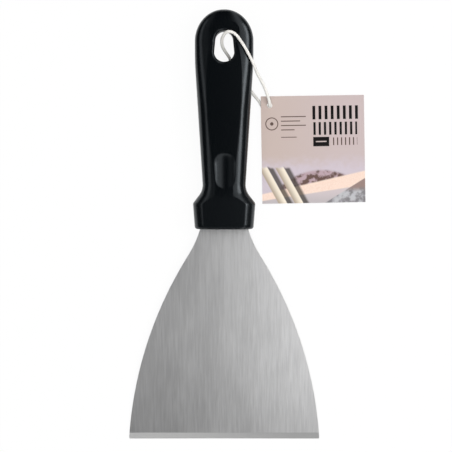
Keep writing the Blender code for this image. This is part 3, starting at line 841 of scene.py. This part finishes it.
# %% A finish
class Finish(Network):
    """A material, whose network is built up by sums and nodes."""

    def __init__(self, name):
        self.material = bpy.data.materials.new(name)
        self.material.use_nodes = True
        super().__init__(self.material.node_tree)
        self.shader = self.tree.nodes["Principled BSDF"]
        self.place = self.node("ShaderNodeTexCoord", out="Object")

    def noise(self, scale, place=None, detail=2.0):
        return self.node("ShaderNodeTexNoise", sockets={
            "Vector": place or self.place, "Scale": scale, "Detail": detail})

    def stretched_noise(self, scale, detail):
        """Noise with a scale of its own along each axis."""
        place = self.node("ShaderNodeMapping", sockets={"Vector": self.place, "Scale": scale})
        return self.noise(1.0, place, detail)

    def bump(self, height, strength, distance):
        return self.node("ShaderNodeBump", sockets={
            "Height": height, "Strength": strength, "Distance": distance})

    def use(self, *pieces, **sockets):
        """Sets the shader's sockets by their names, and gives the finish to the pieces."""
        for name, value in sockets.items():
            self.put(self.shader.inputs[name.replace("_", " ")], value)
        for piece in pieces:
            piece.data.materials.clear()
            piece.data.materials.append(self.material)
        print(f"{self.material.name}: {len(self.tree.nodes)} nodes, on", [piece.name for piece in pieces])


# %% [markdown]
# ## Brushed steel
# Stainless sheet is brushed along the tool, and shows streaks and faint clouds. The sheet is also bowed by a
# trace, so that its right looks lighter than its left. On top of that, light is painted into its colour:
# lighter at the right than at the left, and lighter towards the handle. Two noises that are stretched along
# the blade give the pattern, and two smooth steps give the painted light. The bevel is known by its place
# along the blade, and its colour has painted light the other way: lighter at its left, darker at its right.

# %% Colours of the steel
GRIND_HEIGHT = 3.3 * mm  # of the bevel
GRIND_BLUR = 0.1 * mm  # half the width of the line where it meets the plate
PAINTED_DARK_Y, PAINTED_LIGHT_Y = -125 * mm, -50 * mm  # painted light: the plate's colour lightens from the first of these to the second
# Half the blade's width, across which the plate and the bevel have painted light from side to side.
HALF_EDGE = 50 * mm
STREAK_SCALE = (1100, 60, 60)  # of the noise, per metre across, along and through the blade
CLOUD_SCALE = (60, 30, 30)
PATTERN_LOW, PATTERN_HIGH = 0.3, 0.7  # of the noise, where the pattern is darkest and lightest
PATTERN_SHARE, PAINTED_UP_SHARE, PAINTED_RIGHT_SHARE = 0.25, 0.40, 0.35  # of what makes the plate lighter: its pattern, and painted light up the blade and to the right
# The plate's colours at the two ends of its pattern and its painted light.
PLATE_DARK, PLATE_LIGHT = (0.47, 0.47, 0.473), (0.97, 0.97, 0.973)
# Painted light on the bevel: its colour at the lit left end and at the shaded right end.
BEVEL_PAINTED_LIT_LEFT, BEVEL_PAINTED_SHADE_RIGHT = (0.76, 0.76, 0.755), (0.58, 0.58, 0.58)
steel = Finish("brushed_steel")
streaks = steel.stretched_noise(STREAK_SCALE, detail=2.0)
clouds = steel.stretched_noise(CLOUD_SCALE, detail=2.0)
tone = streaks * 0.5 + clouds * 0.5
blade_x, blade_y = steel.axes(steel.place)[:2]
bevel_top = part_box("blade")[0].y + GRIND_HEIGHT
ground = steel.step(blade_y, bevel_top + GRIND_BLUR, bevel_top - GRIND_BLUR)  # 1 on the bevel
# Painted light: the plate is painted lighter towards the handle and towards its right.
painted_light_up_blade = steel.step(blade_y, PAINTED_DARK_Y, PAINTED_LIGHT_Y)
painted_light_to_right = steel.step(blade_x, -HALF_EDGE, HALF_EDGE)
pattern = steel.step(tone, PATTERN_LOW, PATTERN_HIGH)
# The steel's own pattern mixed with the painted light.
shade = pattern * PATTERN_SHARE + painted_light_up_blade * PAINTED_UP_SHARE + painted_light_to_right * PAINTED_RIGHT_SHARE
plate_colour = steel.between(shade, PLATE_DARK, PLATE_LIGHT)
# Painted light: the bevel is painted lighter at its left and darker at its right.
bevel_painted_light = steel.between(painted_light_to_right, BEVEL_PAINTED_LIT_LEFT, BEVEL_PAINTED_SHADE_RIGHT)
steel_colour = steel.between(ground, plate_colour, bevel_painted_light)


# %% [markdown]
# ## The grain of the steel
# Thousands of fine scratches lean to the left or the right, so they spread light sideways, and the sheet
# looks satin. A finer noise and the streaks lean the surface's normal to either side by a little, the bow
# leans it outwards, and a fairly high roughness does the rest. The ground bevel is smoother and has no bow.

# %% Grain of the steel
SCRATCH_SCALE = (5200, 170, 170)
SCRATCH_SPREAD = 0.18  # how far the fine scratches throw the light aside
STREAK_SPREAD = 0.05  # the same for the streaks
BLADE_BOW = 1.8  # how much the blade's face leans outwards, per metre from its middle
PLATE_SMOOTHEST, PLATE_ROUGHEST = 0.50, 0.56
BEVEL_ROUGHNESS = 0.40
scratches = steel.stretched_noise(SCRATCH_SCALE, detail=1.0)
bow = (1 - ground) * blade_x * BLADE_BOW
aside = (scratches - 0.5) * SCRATCH_SPREAD + (streaks - 0.5) * STREAK_SPREAD + bow
lean = steel.node("ShaderNodeCombineXYZ", sockets={"X": aside})
surface = steel.node("ShaderNodeNewGeometry", out="Normal")
leaning = steel.node("ShaderNodeVectorMath", {"operation": "ADD"}, {0: surface, 1: lean})
leaning = steel.node("ShaderNodeVectorMath", {"operation": "NORMALIZE"}, {0: leaning})
plate_roughness = steel.between(tone, PLATE_SMOOTHEST, PLATE_ROUGHEST)
steel_roughness = steel.between(ground, plate_roughness, BEVEL_ROUGHNESS)
steel.use(blade, Base_Color=steel_colour, Metallic=1.0, Roughness=steel_roughness, Normal=leaning)


# %% [markdown]
# ## Black plastic
# The handle is black polypropylene, a little bluish, fresh from a polished mould: dark all over, with narrow
# highlights along its rounded sides. It needs hardly any colour of its own, a bluish tint for what it
# mirrors, and a low roughness with a trace of grain. The collar is a little duller than the grip, and that
# makes its highlight broad.

# %% Handle plastic
PLASTIC_COLOUR = (0.0001, 0.0007, 0.0014)
PLASTIC_TINT = (0.86, 0.94, 1.0)
PLASTIC_SMOOTHEST, PLASTIC_ROUGHEST = 0.20, 0.25
COLLAR_ROUGHNESS = 0.27
GRIP_FROM, COLLAR_TO = 19 * mm, 12 * mm  # along y, where the finish of the one ends and of the other begins
plastic = Finish("black_polypropylene")
grain = plastic.noise(2600)
on_collar = plastic.step(plastic.axes(plastic.place)[1], GRIP_FROM, COLLAR_TO)
grip_roughness = plastic.between(grain, PLASTIC_SMOOTHEST, PLASTIC_ROUGHEST)
plastic_roughness = plastic.between(on_collar, grip_roughness, COLLAR_ROUGHNESS)
plastic.use(
    handle, Base_Color=PLASTIC_COLOUR, Roughness=plastic_roughness, Specular_IOR_Level=0.54,
    Specular_Tint=PLASTIC_TINT, Normal=plastic.bump(grain, strength=0.06, distance=0.1 * mm))


# %% [markdown]
# ## Cotton
# String is matt and fibrous, cream white. Fine noise varies its colour and bumps its surface. The same finish
# goes on the knot.

# %% Cotton
COTTON_DARK, COTTON_LIGHT = (0.72, 0.70, 0.66), (0.90, 0.885, 0.85)
cotton = Finish("cream_cotton")
fuzz = cotton.noise(2400, detail=3.0)
cotton_colour = cotton.between(fuzz, COTTON_DARK, COTTON_LIGHT)
cotton.use(
    string, knot, Base_Color=cotton_colour, Roughness=0.9,
    Normal=cotton.bump(fuzz, strength=0.4, distance=0.2 * mm))


# %% [markdown]
# ## A place to print on
# The tag is a square of thin printed card, turned by one degree about the hole it hangs from. A print needs
# coordinates of its own: a Mapping node moves and turns the object's coordinates so that they count in
# millimetres from the card's lower left corner. Then a mark is a comparison or two: inside this rectangle,
# past this slanted line.

# %% Card
TAG_TURN = math.radians(1)
HOLE_FROM_LEFT, HOLE_FROM_LOW = 4.6, 51.5  # in millimetres, on the card
hole_x, hole_y = frame["joints"][0]["pos_m"][:2]
card = Finish("printed_card")
from_hole = card.node("ShaderNodeMapping", {"vector_type": "TEXTURE"}, {
    "Vector": card.place, "Location": (hole_x, hole_y, 0),
    "Rotation": (0, 0, TAG_TURN), "Scale": (mm, mm, mm)})
card_x, card_y = card.axes(from_hole)[:2]
card_x, card_y = card_x + HOLE_FROM_LEFT, card_y + HOLE_FROM_LOW
soft = card.noise(0.35, from_hole, detail=3.0)
speckle = card.noise(1.6, from_hole, detail=2.0)


def area(left, right, low, high):
    """1 inside an upright rectangle of the card, and 0 outside."""
    return (card_x > left) * (card_x < right) * (card_y > low) * (card_y < high)


def past_line(left, low, degrees, blur):
    """0 to 1 where a slanted line through a point of the card is passed, to its upper left."""
    turn = math.radians(degrees)
    return card.step((card_y - low) * math.cos(turn) - (card_x - left) * math.sin(turn), -blur, blur)


# %% [markdown]
# ## The picture on the card, far part
# The card carries a soft picture in pink beige, lilac grey and brown, of a made up landscape. It is painted
# in layers, back to front, as one would with paper cut outs: first haze, a round dark hill, sand and fog.
# Each layer has its colour and a mask made of slanted lines or a circle, with noise where the layer is
# rough. All places are in millimetres, counted from the card's lower left corner.

# %% Far part of the picture
HILL_X, HILL_Y, HILL_RADIUS, HILL_BLUR = 31.0, -14.0, 32.0, 1.6
paper = card.between(card.step(card_x, 0.0, 48.0), (0.485, 0.395, 0.36), (0.50, 0.414, 0.41))
haze = card.between(speckle, (0.50, 0.44, 0.50), (0.56, 0.49, 0.53))
picture = card.between(card.step(card_y + soft * 8, 30.0, 20.0), paper, haze)

hill = card.between(card.step(soft, 0.42, 0.6), (0.12, 0.07, 0.06), (0.42, 0.31, 0.34))
hill_x, hill_y = card_x - HILL_X, card_y - HILL_Y
from_hill = (hill_x * hill_x + hill_y * hill_y).root()
on_hill = card.step(from_hill, HILL_RADIUS, HILL_RADIUS - HILL_BLUR)
picture = card.between(on_hill, picture, hill)

sand = card.between(speckle, (0.72, 0.50, 0.40), (0.86, 0.72, 0.63))
picture = card.between(1 - past_line(0.0, 5.0, 12.0, blur=0.5), picture, sand)

fog = card.between(card.step(card_y, 0.0, 7.0), (0.45, 0.41, 0.42), (0.54, 0.47, 0.48))
picture = card.between(1 - past_line(0.0, 1.5, 8.0, blur=0.4), picture, fog)


# %% [markdown]
# ## The picture on the card, near part
# In front of that lie a rock in the right corner, and two folded ribbons of pale paper at the left, each
# with its shade. A ribbon lies between two parallel lines, and its shade begins where it ends.

# %% Near part of the picture
ROCK_LEFT, ROCK_LEAN = 33.0, 31.0  # where its upper edge leaves the card's lower edge, and degrees
rock = card.between(card.step(soft, 0.38, 0.62), (0.20, 0.19, 0.20), (0.45, 0.45, 0.47))
rock = card.between(card.step(card_y + soft * 3, 7.0, 10.0), rock, (0.27, 0.19, 0.17))
picture = card.between(1 - past_line(ROCK_LEFT, 0.0, ROCK_LEAN, blur=0.25), picture, rock)

RIBBON_LEAN = 118.0
RIBBON_WIDTH, SHADE_WIDTH, FOLD_PLACE = 4.5, 3.0, 2.5  # along the card's lower edge
ribbon_end = card.step(card_y + soft * 2, 20.5, 19.0)
for right in (13.0, 21.5):
    past_ribbon = past_line(right, 0.0, RIBBON_LEAN, blur=0.3)
    shaded = past_line(right + SHADE_WIDTH, 0.0, RIBBON_LEAN, blur=0.8) - past_ribbon
    picture = card.between(shaded * ribbon_end * 0.85, picture, (0.035, 0.028, 0.02))
    fold = past_line(right - FOLD_PLACE, 0.0, RIBBON_LEAN, blur=2.0)
    ribbon = card.between(fold, (0.78, 0.70, 0.58), (0.36, 0.29, 0.22))
    on_ribbon = past_ribbon - past_line(right - RIBBON_WIDTH, 0.0, RIBBON_LEAN, blur=0.3)
    picture = card.between(on_ribbon * ribbon_end, picture, ribbon)


# %% [markdown]
# ## Marks on the card
# Over the picture come plain printed marks: two rows of black bars, a block with a pale line, fine ticks, a
# ring with a dot and a few thin rules. The back of the card is bare paper, which a look at the direction
# of the surface tells from the front.

# %% Marks on the card
BIG_BARS = (27.0, 51.2, 43.8, 50.9)  # left, right, low and high end, in millimetres on the card
SMALL_BARS = (27.4, 50.4, 35.7, 42.4)
BLOCK = (27.2, 35.6, 29.7, 34.6)
LINE_IN_BLOCK = (28.6, 34.2, 31.9, 32.5)
TICKS = (37.6, 50.4, 30.2, 34.2)
SHORT_RULE = (10.4, 18.6, 34.5, 34.9)
RULE_LEFT, RULE_WEIGHT = 10.4, 0.5
RULES = ((45.2, 23.5), (42.9, 20.5), (40.6, 23.5), (38.3, 17.5))  # low edge and right end of each
RING_X, RING_Y = 5.6, 41.8
RING_INNER, RING_OUTER, DOT = 2.9, 3.4, 0.9  # radii
BLACK_INK, BROWN_INK, BARE_PAPER = (0.003, 0.002, 0.002), (0.10, 0.065, 0.055), (0.72, 0.70, 0.67)


def bars(row, pitch, share):
    """A row of upright bars, each of which takes up a share of the pitch."""
    return area(*row) * (((card_x - row[0]) / pitch).fraction() < share)


black = bars(BIG_BARS, 3.2, 0.48) + bars(SMALL_BARS, 2.75, 0.44) + area(*BLOCK) * (1 - area(*LINE_IN_BLOCK))
printed = card.between(black, picture, BLACK_INK)
far_x, far_y = card_x - RING_X, card_y - RING_Y
far = (far_x * far_x + far_y * far_y).root()
brown = (far > RING_INNER) * (far < RING_OUTER) + (far < DOT)
for low, right in RULES:
    brown = brown + area(RULE_LEFT, right, low, low + RULE_WEIGHT)
brown = brown + area(*SHORT_RULE) + bars(TICKS, 2.1, 0.3)
printed = card.between(brown, printed, BROWN_INK)
facing = card.axes(card.node("ShaderNodeTexCoord", out="Normal"))[2]
both_sides = card.between(facing > 0.5, BARE_PAPER, printed)
paper_grain = card.noise(900, detail=3.0)
card.use(
    tag, Base_Color=both_sides, Roughness=card.between(paper_grain, 0.45, 0.6), Specular_IOR_Level=0.2,
    Normal=card.bump(paper_grain, strength=0.1, distance=0.05 * mm))


# %% [markdown]
# ## The table
# The scraper lies on a white table that fades to pure white in the picture. More light would do that too, but
# it would also wash out the steel. So what the camera sees of the table is mostly plain white, mixed by the
# kind of ray, while its light and its shadow on the object stay those of white paint.

# %% Table
TABLE_WIDTH = 6.0  # in metres
TABLE_COLOUR = (0.85, 0.85, 0.85)
WHITE_SEEN = 0.94  # share of plain white in what the camera sees of the table
WHITE_MIRRORED = 0.06  # the same in what the pieces mirror of it
bpy.ops.object.select_all(action="DESELECT")
bpy.ops.mesh.primitive_plane_add(size=TABLE_WIDTH, location=(0, 0, 0))
table = bpy.context.object
table.name = "table_top"
white = Finish("white_table")
camera_ray, glossy_ray, through_ray = (
    white.node("ShaderNodeLightPath", out=f"Is {kind} Ray") for kind in ("Camera", "Glossy", "Transmission"))
plain_share = camera_ray * WHITE_SEEN + (glossy_ray + through_ray) * WHITE_MIRRORED
plain = white.node("ShaderNodeEmission", sockets={"Color": (1.0, 1.0, 1.0), "Strength": 1.0})
paint = Value(white, white.shader.outputs[0])
mixed = white.node("ShaderNodeMixShader", sockets={0: plain_share, 1: paint, 2: plain})
white.put(white.tree.nodes["Material Output"].inputs["Surface"], mixed)
white.use(table, Base_Color=TABLE_COLOUR, Roughness=0.9, Specular_IOR_Level=0.0)


# %% [markdown]
# ## The sky
# Satin steel shows a blurred picture of all that is above it. A studio is dark with pale walls, here one at
# the left and a paler one at the right, so the world's light runs from left to right through a ramp of greys.
# The camera itself sees white in its place.

# %% Sky
SKY = (  # share of the way from left to right, and grey there
    (0.0, 0.05), (0.28, 0.05), (0.33, 0.24), (0.39, 0.24), (0.43, 0.01),
    (0.56, 0.01), (0.61, 1.0), (0.70, 1.0), (0.80, 0.12), (1.0, 0.12))
world = bpy.data.worlds.new("studio")
bpy.context.scene.world = world
world.use_nodes = True
sky = Network(world.node_tree)
direction_x = sky.axes(sky.node("ShaderNodeTexCoord", out="Generated"))[0]
walls = sky.node("ShaderNodeValToRGB", {"stops": SKY}, {0: (direction_x + 1) / 2})
to_camera = sky.node("ShaderNodeLightPath", out="Is Camera Ray")
shown = sky.between(to_camera, walls, (1.0, 1.0, 1.0))
sky.put(world.node_tree.nodes["Background"].inputs["Color"], shown)
print("sky:", len(sky.tree.nodes), "nodes")


# %% [markdown]
# ## Soft boxes
# Two narrow lamps to the right and the left draw the highlights along the handle's round sides, the right one
# much brighter. That one is also short, because its far end would glare in the blade when the scraper is
# looked at from its left. A weak one in front lights the bevel. A wide one overhead lights the card, the
# string and the table evenly, and is hidden from reflections, because it would veil the black plastic.

# %% Soft boxes
def soft_box(name, azimuth, tilt, distance, width, length, power, shift=0.0):
    """A lamp that faces the scraper, its length level and tilted off the vertical towards an azimuth.

    Azimuth 0 is to the right and -90 in front. The shift moves the lamp along its length.
    """
    lamp = bpy.data.lights.new(name, "AREA")
    lamp.shape = "RECTANGLE"
    lamp.size, lamp.size_y = width, length
    lamp.energy = power
    box = bpy.data.objects.new(name, lamp)
    box.rotation_euler = (0, math.radians(tilt), math.radians(azimuth))
    turn = box.rotation_euler.to_matrix()
    box.location = turn @ Vector((0, shift, distance))
    bpy.context.collection.objects.link(box)
    print(f"{name}: {power} W over {width} by {length} m")
    return box


soft_box("right_box", azimuth=0, tilt=39, distance=0.9, width=0.24, length=0.62, power=2.25, shift=0.14)
soft_box("left_box", azimuth=180, tilt=39, distance=0.9, width=0.24, length=1.0, power=0.68, shift=-0.28)
soft_box("front_box", azimuth=-90, tilt=45, distance=0.9, width=0.4, length=0.8, power=0.7, shift=-0.2)
fill = soft_box("fill_box", azimuth=0, tilt=0, distance=1.6, width=1.6, length=1.6, power=22.5)
fill.visible_glossy = False


# %% [markdown]
# ## Colours as they are written
# The Standard view shows a colour as it was mixed, without a film curve.

# %% View
bpy.context.scene.view_settings.view_transform = "Standard"
bpy.context.view_layer.update()
